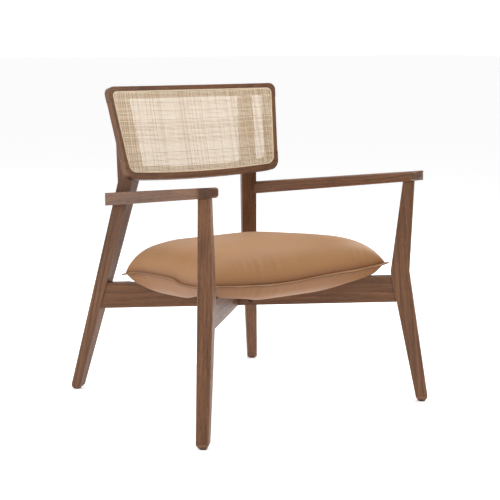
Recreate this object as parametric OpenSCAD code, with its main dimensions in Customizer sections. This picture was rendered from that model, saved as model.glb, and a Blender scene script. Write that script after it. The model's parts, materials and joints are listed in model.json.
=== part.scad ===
// Lounge armchair: crossed seat rails between four knee-shaped legs, sloping arms,
// a curved caned back and a leather seat cushion.
// Origin on the floor under the middle of the chair, +X to the sitter's left, +Y to the back, +Z up.

/* [Overall] */
// Distance along a diagonal from the rail crossing to the outer edge of a front foot
front_foot_reach = 485; // [450:1:560]
// Sideways distance from the middle to the front corner of a rear foot
rear_foot_x = 288; // [260:1:330]
// Distance behind the rail crossing to the front corner of a rear foot
rear_foot_y = 277; // [240:1:320]
// Height of the top of the arms at their front ends
arm_front_z = 572; // [540:1:640]
// Height of the front face of the back at the middle of its lower edge
back_z = 546; // [520:1:620]

/* [Front legs] */
// Height of the knee in the front legs
front_knee_z = 325; // [300:1:360]
// Distance along a diagonal from the rail crossing to the outer edge of the knee
front_knee_reach = 435; // [400:1:480]
// Distance along a diagonal from the rail crossing to the outer edge of the leg's top
front_top_reach = 444; // [405:1:490]
// Depth of a front leg at the foot, at the knee and at the top
front_depths = [29, 46, 27]; // [20:1:60]
// Thickness of a front leg at the foot, at the knee and at the top
front_thicks = [28.5, 35.5, 27.5]; // [22:0.5:45]

/* [Rear legs] */
// Angle that the rear legs' flat sides are turned from the Y axis
rear_turn = 30.5; // [20:0.5:40]
// Inward lean of the rear legs across their flat sides
rear_lean = 2.3; // [0:0.1:5]
// Forward rake of the lower part, per millimetre of height
rear_rake = 0.277; // [0.2:0.001:0.33]
// Backward rake of the upper part's front edge, per millimetre of height
rear_recline = 0.245; // [0.15:0.001:0.33]
// Height of the knee in the rear legs' front edge above the back's lower edge
rear_knee_rise = 32; // [0:1:80]
// Depth of the bend in the rear legs' back edge below the back's lower edge
rear_bend_drop = 11; // [0:1:60]
// Height of the top of the rear legs above the back's lower edge
rear_top_rise = 206; // [160:1:240]
// Depth of a rear leg at the foot, at the bend and at the top
rear_depths = [25, 39.5, 20]; // [16:0.5:60]
// Thickness of a rear leg above its taper
rear_thick = 38; // [26:0.5:44]
// Thickness of a rear leg at the foot
rear_foot_thick = 26; // [20:0.5:44]
// Height at which the rear legs start to taper towards the foot
rear_taper_z = 376; // [200:1:420]

/* [Crossed rails] */
// Height of the rails' lower edge at the crossing
rail_z = 231; // [200:1:260]
// Rise of the rails towards the front
rail_slope = 2.75; // [0:0.05:5]
// Height of a rail at its ends
rail_h = 63.5; // [50:0.5:90]
// Thickness of a rail
rail_t = 25; // [18:1:34]
// Depth of the hollow that cradles the seat
cradle_dip = 20; // [0:1:28]
// Thickness of the loose tenons at the rail ends
tenon_t = 10; // [6:1:14]
// Height of the loose tenons at the rail ends
tenon_h = 40; // [25:1:50]
// Length of a loose tenon on each side of its joint
tenon_reach = 21; // [12:1:24]

/* [Arms] */
// Distance between the middles of the arms' front ends
arm_spread = 622; // [580:1:720]
// Distance in front of the rail crossing to the arms' front ends
arm_front_y = 327.5; // [300:1:360]
// Inward angle of the arms towards the back
arm_toe = 10.1; // [6:0.1:14]
// Length of an arm
arm_len = 548; // [520:1:600]
// Width of an arm
arm_w = 53; // [44:1:70]
// Thickness of an arm at its front and at its back
arm_thicks = [23, 32]; // [18:1:40]
// Downward slope of the arms' tops towards the back
arm_slope = 6.65; // [3:0.05:9]
// Radius of the arms' corners in plan
arm_corner = 8; // [3:1:14]

/* [Back] */
// Distance from the rear legs' front corners forward to the back's front face, at its lower middle
back_ahead = 15.39; // [8:0.01:30]
// Backward tilt of the back
back_recline = 13.5; // [5:0.5:25]
// Half width of the back at its lower and upper edges
back_half_widths = [233, 259]; // [180:1:300]
// Height of the back along its own slope
back_h = 228; // [180:1:300]
// Radius of the back's curve
back_radius = 1524; // [900:10:3000]
// Thickness of the back frame
back_t = 20; // [16:1:28]
// Width of the back frame, front view
rim_w = 28; // [26:1:45]
// Width of bare wood outside the spline
rim_face = 11; // [9:1:20]
// Extra width of the frame along its lower edge
rim_low_extra = 4.5; // [0:0.5:8]
// Radius of the lower and the upper corners
back_corners = [26, 16]; // [12:1:40]
// Outward bow of the lower and the upper edges
back_bows = [6, 4]; // [0:1:14]
// Width of the reed spline
spline_w = 4; // [3:0.5:5]
// Depth of the groove for the spline
groove_d = 8; // [5:0.5:10]
// Thickness of the woven cane
cane_t = 1.5; // [1:0.1:2]

/* [Seat] */
// Height of the seat's seam above the floor, over the rail crossing
seat_z = 315; // [295:1:345]
// Backward tilt of the seat
seat_tilt = 4.05; // [0:0.05:8]
// Distance from the rail crossing to the front and to the back seam
seat_ends = [-265, 185]; // [-300:1:220]
// Half width of the seat at its front and at its back seam
seat_half_widths = [269, 203]; // [170:1:300]
// Height of the crown above the seam
seat_crown = 90; // [60:1:100]
// Depth of the belly below the seam
seat_belly = 50; // [25:1:60]
// Thickness of the plywood board
board_t = 12; // [9:1:18]
// Share of the seat's width and length that the board takes
board_share = 0.9; // [0.8:0.01:0.92]
// Thickness of the leather
leather_t = 1.6; // [1.2:0.1:2.5]
// Width of the sewn flange round the seat
flange_w = 7; // [4:1:12]

/* [Fittings] */
// Diameter of the bolts
bolt_d = 6; // [5:1:8]
// Diameter of the plugs and counterbores
plug_d = 13; // [12:1:16]
// Diameter of the foot glides
glide_d = 20; // [14:1:24]
// Thickness of the foot glides
glide_t = 3; // [2:0.5:6]

/* [Hidden] */

walnut = "#6f523c";
walnut_dark = "#4c3425";
tan_leather = "#a8754a";
cane_colour = "#e0c79c";
steel_colour = "#8a8d90";

birch_colour = "#c8a878";
foam_colour = "#e8dcae";
glide_colour = "#1c1b1a";

fine = 96;
big = 900;
access_len = 60;

// The rail crossing lies behind the middle of the chair's footprint.
foot_front_y = -front_foot_reach * cos(45) - front_thicks[0] / 2 * sin(45);
foot_back_y = rear_foot_y + rear_depths[0] * cos(rear_turn) + rear_foot_thick * sin(rear_turn);
cross_y = -(foot_front_y + foot_back_y) / 2;

foot_chamfer = 5;
foot_chamfer_h = 8;
leg_joint_z = arm_front_z - 10;
rear_knee_z = back_z + rear_knee_rise;
rear_bend_z = back_z - rear_bend_drop;
rear_top_z = back_z + rear_top_rise;

// Points of an outline whose corners are rounded: each corner is [x, y, radius].
function unit(v) = v / norm(v);
function corner_arc(p, q, s, r, n = 8) =
    let (a = unit(p - q), b = unit(s - q), half = acos(a * b) / 2)
    let (c = q + unit(a + b) * r / sin(half), t0 = q + a * r / tan(half), t1 = q + b * r / tan(half))
    let (u = t0 - c, w = t1 - c, turn = 180 - 2 * half)
    [for (i = [0:n]) c + (u * sin(turn * (1 - i / n)) + w * sin(turn * i / n)) / sin(turn)];

// Height of the underside of an arm above the floor, at a distance back from its front end.
function arm_top(s) = arm_front_z - s * tan(arm_slope);
function arm_thick(s) = arm_thicks[0] + (arm_thicks[1] - arm_thicks[0]) * s / arm_len;
function arm_under(s) = arm_top(s) - arm_thick(s);

// In-plane places of the rear leg's front and back edges, at a height.
function rear_front_edge(z) =
    z < rear_knee_z ? -rear_rake * z : -rear_rake * rear_knee_z + rear_recline * (z - rear_knee_z);
back_y = rear_foot_y + rear_front_edge(back_z) * cos(rear_turn) - back_ahead;
rear_bend_s = -rear_rake * rear_bend_z + rear_depths[1];
rear_top_s = rear_front_edge(rear_top_z) + rear_depths[2];
function rear_back_edge(z) =
    z < rear_bend_z ? rear_depths[0] + (rear_bend_s - rear_depths[0]) * z / rear_bend_z
    : rear_bend_s + (rear_top_s - rear_bend_s) * (z - rear_bend_z) / (rear_top_z - rear_bend_z);

// Inner edge of the front leg, along the diagonal, at a height below the knee.
knee_inner = front_knee_reach - front_depths[1];
foot_inner = front_foot_reach - front_depths[0];
top_inner = front_top_reach - front_depths[2];
function front_inner_edge(z) =
    z < front_knee_z ? foot_inner + (knee_inner - foot_inner) * z / front_knee_z
    : knee_inner + (top_inner - knee_inner) * (z - front_knee_z) / (leg_joint_z - front_knee_z);

// Lower edge of a rail, along its diagonal.
function rail_under(s) = rail_z + s * tan(rail_slope);
rail_rear_end = 345;
cradle_mid = 30;
cradle_half = 300;
cradle_r = (cradle_half * cradle_half + cradle_dip * cradle_dip) / (2 * cradle_dip);
cradle_low = rail_under(cradle_mid) + rail_h - cradle_dip;
cradle_centre = [cradle_mid - cradle_r * sin(rail_slope), cradle_low + cradle_r * cos(rail_slope)];

// Height of the top of a rail above the floor, along its diagonal.
function hollow_top(s) =
    min(rail_under(s) + rail_h,
        cradle_centre[1] - sqrt(pow(cradle_r, 2) - pow(s - cradle_centre[0], 2)));

// ---- places ----

// Frame of a front leg and its rail: X runs outwards along the diagonal, side is 1 or -1.
module diagonal(side) {
    translate([0, cross_y, 0]) rotate([0, 0, side > 0 ? -45 : -135]) children();
}

// Frame of a rear leg: X runs back in the leg's own plane, Y runs inwards across it.
// The stand is the same frame without the leg's sideways lean.
module rear_stand(side) {
    mirror([side > 0 ? 0 : 1, 0, 0]) translate([rear_foot_x, cross_y + rear_foot_y, 0])
        rotate([0, 0, 90 - rear_turn]) children();
}
module rear_frame(side) {
    rear_stand(side) rotate([-rear_lean, 0, 0]) children();
}

// Frame of an arm: X runs back along the arm, Y across it, with the middle of its front end at X 0.
module arm_frame(side) {
    mirror([side > 0 ? 0 : 1, 0, 0])
        translate([arm_spread / 2, cross_y - arm_front_y, 0]) rotate([0, 0, 90 + arm_toe]) children();
}

// Frame of the back: X across, Y through its thickness to the rear, Z up its slope.
module back_frame() {
    translate([0, cross_y + back_y, back_z]) rotate([-back_recline, 0, 0]) children();
}

// Frame of the seat: origin on the seam's plane, over the rail crossing.
module seat_frame() {
    translate([0, cross_y, seat_z]) rotate([-seat_tilt, 0, 0]) children();
}

// Turns an XY outline up into the XZ plane and gives it a thickness, centred on Y 0.
module upright(t) {
    rotate([90, 0, 0]) linear_extrude(t, center = true) children();
}

// ---- front legs ----

module front_leg_face() {
    polygon([[foot_inner + foot_chamfer, glide_t], [foot_inner, glide_t + foot_chamfer_h],
        [knee_inner, front_knee_z], [top_inner, leg_joint_z],
        [front_top_reach, leg_joint_z], [front_knee_reach, front_knee_z],
        [front_foot_reach, glide_t + foot_chamfer_h], [front_foot_reach - foot_chamfer, glide_t]]);
}

module front_leg_edge() {
    half = front_thicks / 2;
    polygon([[-half[0] + foot_chamfer, glide_t], [-half[0], glide_t + foot_chamfer_h],
        [-half[1], front_knee_z], [-half[2], leg_joint_z],
        [half[2], leg_joint_z], [half[1], front_knee_z],
        [half[0], glide_t + foot_chamfer_h], [half[0] - foot_chamfer, glide_t]]);
}

module front_leg_blank(side) {
    diagonal(side) intersection() {
        upright(big) front_leg_face();
        rotate([0, 0, 90]) upright(2 * big) front_leg_edge();
    }
}

// Everything above the underside of an arm.
module above_arm(side) {
    arm_frame(side) upright(2 * arm_w)
        polygon([[-50, arm_under(-50)], [arm_len + 50, arm_under(arm_len + 50)],
            [arm_len + 50, big], [-50, big]]);
}

module front_leg(side) {
    color(walnut) difference() {
        front_leg_blank(side);
        above_arm(side);
        rail_tenon_front(side);
        arm_tenon(side);
        glide_nail_front(side);
    }
}

// ---- rear legs ----

module rear_leg_face() {
    polygon([[-rear_rake * glide_t + foot_chamfer, glide_t],
        [rear_front_edge(glide_t + foot_chamfer_h), glide_t + foot_chamfer_h],
        [rear_front_edge(rear_knee_z), rear_knee_z], [rear_front_edge(rear_top_z), rear_top_z],
        [rear_top_s, rear_top_z], [rear_bend_s, rear_bend_z],
        [rear_back_edge(glide_t + foot_chamfer_h), glide_t + foot_chamfer_h],
        [rear_back_edge(glide_t) - foot_chamfer, glide_t]]);
}

module rear_leg_edge() {
    polygon([[0, 0], [rear_foot_thick, 0], [rear_thick, rear_taper_z], [rear_thick, big], [0, big]]);
}

module rear_leg_blank(side) {
    intersection() {
        rear_frame(side) translate([0, rear_thick / 2, 0]) upright(rear_thick) rear_leg_face();
        rear_frame(side) rotate([90, 0, 90]) linear_extrude(2 * big, center = true) rear_leg_edge();
        translate([-big, -big, glide_t]) cube([2 * big, 2 * big, big]);
    }
}

// The wood behind the front edge of a rear leg, for cutting a rail to length.
module behind_rear_edge(side) {
    rear_frame(side) upright(4 * rear_thick)
        polygon([[rear_front_edge(0), 0], [rear_front_edge(rear_knee_z), rear_knee_z],
            [300, rear_knee_z], [300, 0]]);
}

module rear_leg(side) {
    color(walnut) difference() {
        rear_leg_blank(side);
        back_body_space();
        rail_tenon_rear(side);
        arm_bolt_hole(side);
        for (level = [0, 1]) back_screw_hole(side, level);
        glide_nail_rear(side);
    }
}

// ---- crossed rails ----

module rail_face() {
    difference() {
        polygon([[-rail_rear_end, rail_under(-rail_rear_end)],
            [front_inner_edge(rail_under(knee_inner)), rail_under(knee_inner)],
            [front_inner_edge(rail_under(knee_inner) + rail_h), rail_under(knee_inner) + rail_h],
            [-rail_rear_end, rail_under(-rail_rear_end) + rail_h]]);
        translate(cradle_centre) circle(cradle_r, $fn = 360);
    }
}

lap_z = rail_z + (rail_h - cradle_dip) / 2;

// One rail: it runs from the front leg on the given side to the rear leg on the other side.
module rail_blank(side) {
    difference() {
        diagonal(side) upright(rail_t) rail_face();
        behind_rear_edge(-side);
    }
}

// Half of the crossing, above or below the lap plane.
module lap_half(side, above) {
    diagonal(side) translate([-rail_t / 2, -rail_t, above ? lap_z : lap_z - big])
        cube([rail_t, 2 * rail_t, big]);
}

module cross_rail(side) {
    color(walnut) difference() {
        rail_blank(side);
        lap_half(side, side > 0);
        rail_tenon_front(side);
        rail_tenon_rear(-side);
        seat_bolt_spaces();
        lap_screw_shape();
        rail_pin_space();
    }
}

// Loose tenon between a rail and its front leg.
module rail_tenon_front(side) {
    z = rail_under(knee_inner) + rail_h / 2;
    diagonal(side) translate([front_inner_edge(z), 0, z]) rotate([0, -rail_slope, 0])
        cube([2 * tenon_reach, tenon_t, tenon_h], center = true);
}

// Loose tenon between a rail and the rear leg on the given side.
rear_joint_z = rail_under(-rail_rear_end) + rail_h / 2;
rear_joint_s = norm([rear_foot_x, rear_foot_y]) - rear_rake * rear_joint_z - 7;
module rail_tenon_rear(side) {
    diagonal(-side) translate([-rear_joint_s, 0, rear_joint_z]) rotate([0, -rail_slope, 0])
        cube([2 * tenon_reach, tenon_t, tenon_h], center = true);
}

module rail_tenons() {
    color(walnut_dark) for (side = [-1, 1]) {
        rail_tenon_front(side);
        rail_tenon_rear(side);
    }
}

// Countersunk screw that holds the lap together from below.
lap_screw_d = 4;
lap_screw_head_d = 9;
module lap_screw_shape() {
    translate([0, cross_y, rail_z]) {
        cylinder(d = lap_screw_d, h = rail_h - cradle_dip - 8, $fn = fine);
        cylinder(d1 = lap_screw_head_d, d2 = lap_screw_d, h = 3, $fn = fine);
    }
}
module lap_screw() {
    color(steel_colour) lap_screw_shape();
}

// Wooden peg through the right-hand rail, just in front of the crossing.
pin_d = 12;
pin_s = 44;
pin_up = 11;
module rail_pin_shape(extra = 0) {
    diagonal(1) translate([pin_s, 0, rail_under(pin_s) + pin_up]) rotate([90, 0, 0])
        cylinder(d = pin_d, h = rail_t - 1 + extra, center = true, $fn = fine);
}
module rail_pin_space() {
    rail_pin_shape(2);
}
module rail_pin() {
    color(walnut_dark) rail_pin_shape();
}

// ---- arms ----

module arm_plan() {
    w = arm_w / 2;
    pts = [[0, -w], [arm_len, -w], [arm_len, w], [0, w]];
    polygon([for (i = [0:3]) each corner_arc(pts[(i + 3) % 4], pts[i], pts[(i + 1) % 4], arm_corner)]);
}

module arm_side() {
    polygon([[0, arm_under(0)], [arm_len, arm_under(arm_len)],
        [arm_len, arm_top(arm_len)], [0, arm_top(0)]]);
}

module armrest(side) {
    color(walnut) difference() {
        intersection() {
            arm_frame(side) linear_extrude(big) arm_plan();
            arm_frame(side) upright(2 * arm_w) arm_side();
        }
        rear_leg_blank(side);
        arm_tenon(side);
        arm_bolt_hole(side);
        arm_nut_hole(side);
    }
}

// Loose tenon between a front leg and its arm.
arm_tenon_size = [14, 9, 30];
module arm_tenon(side) {
    s = (front_top_reach + top_inner) / 2;
    back = arm_front_y - s * cos(45);
    diagonal(side) translate([s, 0, arm_under(back)])
        cube(arm_tenon_size, center = true);
}
module arm_tenons() {
    color(walnut_dark) for (side = [-1, 1]) arm_tenon(side);
}

// Bolt that holds an arm to its rear leg, put in from the leg's inner side.
arm_bolt_z = arm_under(arm_len) + 22;
arm_bolt_len = 44;
arm_bolt_s = rear_front_edge(arm_bolt_z) + rear_depths[1] / 2;
plug_len = 7;
head_len = 5;
module arm_bolt_frame(side) {
    rear_frame(side) translate([arm_bolt_s, rear_thick, arm_bolt_z]) rotate([90, 0, 0]) children();
}
module arm_bolt_hole(side) {
    arm_bolt_frame(side) {
        translate([0, 0, -5]) cylinder(d = plug_d, h = 5 + plug_len + head_len, $fn = fine);
        cylinder(d = bolt_d, h = plug_len + head_len + arm_bolt_len, $fn = fine);
    }
}
module arm_bolt(side) {
    arm_bolt_frame(side) translate([0, 0, plug_len]) {
        cylinder(d = plug_d - 1, h = head_len, $fn = fine);
        cylinder(d = bolt_d, h = head_len + arm_bolt_len, $fn = fine);
    }
}
module arm_bolts() {
    color(steel_colour) for (side = [-1, 1]) arm_bolt(side);
}
module arm_bolt_plugs() {
    color(walnut_dark) for (side = [-1, 1])
        arm_bolt_frame(side) cylinder(d = plug_d, h = plug_len, $fn = fine);
}

// Barrel nut that the arm's bolt screws into, let in from below.
nut_d = 10;
nut_up = 12;
module arm_nut_place(side) {
    rear_frame(side) translate([arm_bolt_s, rear_thick - plug_len - head_len - arm_bolt_len + nut_d / 2, 0])
        children();
}
module arm_nut_hole(side) {
    arm_nut_place(side) translate([0, 0, arm_bolt_z - access_len])
        cylinder(d = nut_d, h = access_len + nut_up / 2, $fn = fine);
}
module arm_barrel_nuts() {
    color(steel_colour) for (side = [-1, 1]) difference() {
        arm_nut_place(side) translate([0, 0, arm_bolt_z - nut_up / 2])
            cylinder(d = nut_d, h = nut_up, $fn = fine);
        arm_bolt(side);
    }
}

// ---- back ----

function back_half_width(z) =
    back_half_widths[0] + (back_half_widths[1] - back_half_widths[0]) * z / back_h;

// Outline of the back in its own X and Z, moved inwards by a distance.
corner_ease = 0.4;
function back_outline(inset) =
    let (low = inset + (inset > 0 ? rim_low_extra : 0))
    let (lo = [back_half_width(low) - inset, low])
    let (hi = [back_half_width(back_h - inset) - inset, back_h - inset])
    let (r_lo = max(back_corners[0] - corner_ease * inset, 5))
    let (r_hi = max(back_corners[1] - corner_ease * inset, 5), n = 14)
    let (corners = [lo, hi, [-hi[0], hi[1]], [-lo[0], lo[1]]], radii = [r_lo, r_hi, r_hi, r_lo])
    let (raw = [for (i = [0:3]) each concat(
        corner_arc(corners[(i + 3) % 4], corners[i], corners[(i + 1) % 4], radii[i]),
        i % 2 == 1 ? [for (k = [1:n - 1]) let (a = corners[i], b = corners[(i + 1) % 4])
            [a[0] * (1 - k / n) + b[0] * k / n, a[1]]] : [])])
    [for (p = raw) bowed(p, lo, hi)];

// A point of the outline with the bow of its edge added.
function bowed(p, lo, hi) =
    let (t = (p[1] - lo[1]) / (hi[1] - lo[1]), u = p[0] / (lo[0] + (hi[0] - lo[0]) * t))
    let (arch = 1 - min(1, u * u))
    [p[0], p[1] + arch * (back_bows[1] * t - back_bows[0] * (1 - t))];

sheet_half = back_half_widths[1] + 30;
module back_shape(inset) {
    polygon(back_outline(inset));
}

// Plan of a bent sheet between two depths behind the back's front face.
module bend_plan(near, far) {
    translate([0, -back_radius]) intersection() {
        difference() {
            circle(back_radius + far, $fn = 720);
            circle(back_radius + near, $fn = 720);
        }
        translate([-sheet_half, back_radius - 80]) square([2 * sheet_half, 120]);
    }
}

// Bends the children, an outline in the back's own X and Z, into a sheet between two depths.
module bent(near, far) {
    intersection() {
        rotate([90, 0, 0]) linear_extrude(160, center = true) children();
        translate([0, 0, -30]) linear_extrude(back_h + 60) bend_plan(near, far);
    }
}

module outline_ring(outer, inner) {
    difference() {
        back_shape(outer);
        back_shape(inner);
    }
}

// The whole of the back, for cutting the legs to it.
module back_body_space() {
    back_frame() translate([0, 0, -30]) linear_extrude(back_h + 90) bend_plan(-50, back_t);
}

// Frame of the back between two heights, with its rebate for the cane and its spline groove.
module back_rim(low, high) {
    difference() {
        bent(0, back_t) intersection() {
            outline_ring(0, rim_w);
            translate([-sheet_half, low]) square([2 * sheet_half, high - low]);
        }
        bent(-5, cane_t) outline_ring(rim_face + spline_w, rim_w + 10);
        bent(-5, groove_d) outline_ring(rim_face, rim_face + spline_w);
    }
}

// Heights of the joints between the stiles and the two rails.
joint_low = back_corners[0] + 22;
joint_high = back_h - back_corners[1] - 22;

module back_rail(low, high, level) {
    color(walnut) difference() {
        back_frame() back_rim(low, high);
        back_dowel_set();
        for (side = [-1, 1]) back_screw_hole(side, level);
    }
}

module back_stile(side) {
    color(walnut) difference() {
        back_frame() intersection() {
            back_rim(joint_low, joint_high);
            translate([side > 0 ? 0 : -sheet_half, -80, 0]) cube([sheet_half, 160, back_h]);
        }
        back_dowel_set();
    }
}

// Dowels in the four joints of the frame, two in each.
dowel_d = 6;
dowel_half = 14;
dowel_insets = [rim_face / 2, rim_w - 6.5];
module back_dowel_set() {
    flare = atan((back_half_widths[1] - back_half_widths[0]) / back_h);
    back_frame() for (side = [0, 1]) mirror([side, 0, 0])
        for (z = [joint_low, joint_high]) for (inset = dowel_insets) {
            x = back_half_width(z) - inset;
            y = sqrt(pow(back_radius, 2) - x * x) - back_radius + back_t - 7.5;
            translate([x, y, z]) rotate([0, flare, 0])
                cylinder(d = dowel_d, h = 2 * dowel_half, center = true, $fn = fine);
        }
}
module back_dowels() {
    color(walnut_dark) back_dowel_set();
}

module cane_panel() {
    color(cane_colour) back_frame() bent(0, cane_t) back_shape(rim_face + spline_w);
}

module cane_spline() {
    color(cane_colour) back_frame() bent(-0.6, groove_d) outline_ring(rim_face, rim_face + spline_w);
}

// Screws from the rear legs into the two rails of the back.
screw_d = 5;
screw_head_d = 10;
screw_grips = [34, 12];
screw_bite = 13;
screw_head_h = 4;
screw_levels = [16.5, back_h - 16.5];
screw_plug_max = 60;

// Sideways place of a screw: the middle of the leg's front edge at that height.
function rear_mid_x(z) =
    rear_foot_x + rear_front_edge(z) * sin(rear_turn)
        - (rear_thick / 2 + z * sin(rear_lean)) * cos(rear_turn);
module back_screw_frame(side, level) {
    z = screw_levels[level];
    x = side * rear_mid_x(back_z + z * cos(back_recline)) + side * 4;
    depth = sqrt(pow(back_radius + back_t, 2) - x * x) - back_radius;
    back_frame() translate([x, depth, z]) rotate([-90, 0, 0]) children();
}
module back_screw_hole(side, level) {
    back_screw_frame(side, level) {
        translate([0, 0, -screw_bite])
            cylinder(d = screw_d, h = screw_bite + screw_grips[level], $fn = fine);
        translate([0, 0, screw_grips[level] - screw_head_h])
            cylinder(d = screw_head_d, h = screw_plug_max, $fn = fine);
    }
}
module back_screws() {
    color(steel_colour) for (side = [-1, 1]) for (level = [0, 1]) back_screw_frame(side, level) {
        translate([0, 0, -screw_bite])
            cylinder(d = screw_d, h = screw_bite + screw_grips[level] - screw_head_h / 2, $fn = fine);
        translate([0, 0, screw_grips[level] - screw_head_h])
            cylinder(d = screw_head_d, h = screw_head_h, $fn = fine);
    }
}

// Plugs over the screws, cut flush with the back of the legs.
module back_screw_plugs() {
    color(walnut_dark) for (side = [-1, 1]) for (level = [0, 1]) intersection() {
        back_screw_frame(side, level) translate([0, 0, screw_grips[level]])
            cylinder(d = screw_head_d, h = screw_plug_max, $fn = fine);
        rear_leg_blank(side);
    }
}

// ---- seat ----

seat_mid = (seat_ends[0] + seat_ends[1]) / 2;
seat_half = (seat_ends[1] - seat_ends[0]) / 2;
crown_power = 6;
belly_power = 5;
cells = 20;
function seat_half_width(v) =
    seat_half_widths[0] + (seat_half_widths[1] - seat_half_widths[0]) * (v + 1) / 2;
function dome(u, v, power) = sqrt((1 - pow(abs(u), power)) * (1 - pow(abs(v), power)));

// Grid places run from -1 to 1, closer together towards the seams.
function grid_at(i) = let (t = 2 * i / cells - 1) (t + sin(90 * t)) / 2;

// Height of a rail's top over the seam's plane, let down by a ramp away from the rail.
// Side is 1 or -1; the flat of the press is wide enough for the grid's cells to clear the rail.
press_half = rail_t / 2 + 50;
press_ramp = 0.8;
function rail_press(x, y, side) =
    let (s = (side * x - y) * cos(45), n = abs(side * x + y) * cos(45))
    (hollow_top(s) - seat_z + y * tan(seat_tilt)) * cos(seat_tilt) - press_ramp * max(0, n - press_half);

// Crown over the seat: u and v are -1 to 1, share shrinks the outline.
function crown_point(u, v, share, height) =
    [u * share * seat_half_width(v * share), seat_mid + v * share * seat_half,
        height * dome(u * share, v * share, crown_power)];
function crown_grid(share, height) =
    [for (j = [0:cells]) for (i = [0:cells]) crown_point(grid_at(i), grid_at(j), share, height)];

// Belly under the seat, pressed up by the rails; skin is the thickness of what lies under it.
function belly_point(u, v, share, skin) =
    let (x = u * share * seat_half_width(v * share), y = seat_mid + v * share * seat_half)
    let (hang = -(seat_belly - skin) * dome(u * share, v * share, belly_power))
    [x, y, min(0, max(hang, skin + rail_clear + max(rail_press(x, y, 1), rail_press(x, y, -1))))];
function belly_grid(share, skin) =
    [for (j = [0:cells]) for (i = [0:cells]) belly_point(grid_at(i), grid_at(j), share, skin)];

// Level grid with the same cells as the domes.
function level_grid(share, level) =
    [for (p = crown_grid(share, 0)) [p[0], p[1], level]];

// A grid drawn in towards its middle, for the inner face of the leather.
function drawn_in(grid) =
    [for (p = grid) [p[0] * leather_share, seat_mid + (p[1] - seat_mid) * leather_share, p[2]]];

// Faces that close two grids with the same number of cells, the first one uppermost.
// Each cell is split along the diagonal that points to the nearest corner of the seat.
function split_cell(a, b, c, d, up) = up ? [[a, c, b], [a, d, c]] : [[a, b, c], [a, c, d]];
function grid_quads(first, up) =
    [for (j = [0:cells - 1]) for (i = [0:cells - 1])
        let (a = first + j * (cells + 1) + i, b = a + 1, c = b + cells + 1, d = a + cells + 1)
        let (to_corner = (i < cells / 2) == (j < cells / 2))
        each to_corner ? split_cell(a, b, c, d, up) : split_cell(b, c, d, a, up)];
rim_index = concat([for (i = [0:cells - 1]) i], [for (j = [0:cells - 1]) j * (cells + 1) + cells],
    [for (i = [cells:-1:1]) cells * (cells + 1) + i], [for (j = [cells:-1:1]) j * (cells + 1)]);
function rim_walls(count) =
    [for (k = [0:len(rim_index) - 1]) let (a = rim_index[k], b = rim_index[(k + 1) % len(rim_index)])
        each [[a, b, b + count], [a, b + count, a + count]]];
module between(upper, lower) {
    polyhedron(concat(upper, lower),
        concat(grid_quads(0, true), grid_quads(len(upper), false), rim_walls(len(upper))));
}

rail_clear = 0.2;
leather_share = 1 - leather_t / seat_half_widths[1];
foam_gap = 1;
crown_slack = 4;
belly_slack = 3;

module seat_board() {
    color(birch_colour) difference() {
        seat_frame() translate([0, 0, -board_t / 2]) linear_extrude(board_t) seat_plan(board_share);
        seat_bolt_spaces();
    }
}
module seat_plan(share) {
    polygon([for (c = [[-1, -1], [1, -1], [1, 1], [-1, 1]])
        [c[0] * share * seat_half_width(c[1] * share), seat_mid + c[1] * share * seat_half]]);
}

// Upper foam, from the board to just under the leather.
module seat_foam() {
    color(foam_colour) seat_frame() between(
        crown_grid(board_share, seat_crown - leather_t - foam_gap - crown_slack),
        level_grid(board_share, board_t / 2));
}

// Lower foam, pressed in where the rails cross under it.
module belly_foam() {
    color(foam_colour) difference() {
        seat_frame() between(level_grid(board_share, -board_t / 2),
            belly_grid(board_share, leather_t + foam_gap + belly_slack));
        seat_bolt_spaces();
    }
}

module seat_cover_top() {
    color(tan_leather) seat_frame() between(
        crown_grid(1, seat_crown), drawn_in(crown_grid(1, seat_crown - leather_t)));
}
module seat_cover_bottom() {
    color(tan_leather) difference() {
        seat_frame() between(drawn_in(belly_grid(1, leather_t)), belly_grid(1, 0));
        seat_bolt_spaces();
    }
}

module seat_flange() {
    color(tan_leather) seat_frame() translate([0, 0, -leather_t]) linear_extrude(2 * leather_t)
        difference() {
            seat_plan(1 + flange_w / seat_half_widths[1]);
            seat_plan(1);
        }
}

// Bolts up through the rails into tee nuts in the board.
seat_bolt_reach = 150;
tee_d = 8;
tee_flange_d = 18;
tee_flange_t = 1.5;
bolt_head_d = 12;
module seat_bolt_place() {
    for (sx = [-1, 1]) for (sy = [-1, 1]) let (r = seat_bolt_reach * cos(45))
        seat_frame() translate([sx * r, sy * r, 0]) children();
}
seat_bolt_sink = 14;
seat_bolt_low = rail_z - seat_z + seat_bolt_sink;
module seat_bolt_shape(room) {
    translate([0, 0, seat_bolt_low - (room ? access_len : 0)])
        cylinder(d = bolt_head_d + (room ? 1 : 0), h = head_len + (room ? access_len : 0), $fn = fine);
    translate([0, 0, seat_bolt_low])
        cylinder(d = bolt_d, h = -seat_bolt_low + board_t / 2 - tee_flange_t, $fn = fine);
}
module tee_nut_shape() {
    translate([0, 0, -board_t / 2 + 1]) cylinder(d = tee_d, h = board_t - 1, $fn = fine);
    translate([0, 0, board_t / 2 - tee_flange_t]) cylinder(d = tee_flange_d, h = tee_flange_t, $fn = fine);
}
module seat_bolt_spaces() {
    seat_bolt_place() {
        seat_bolt_shape(true);
        tee_nut_shape();
    }
}
module seat_bolts() {
    color(steel_colour) seat_bolt_place() seat_bolt_shape(false);
}
module seat_tee_nuts() {
    color(steel_colour) seat_bolt_place() difference() {
        tee_nut_shape();
        seat_bolt_shape(false);
    }
}

// ---- feet ----

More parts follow.
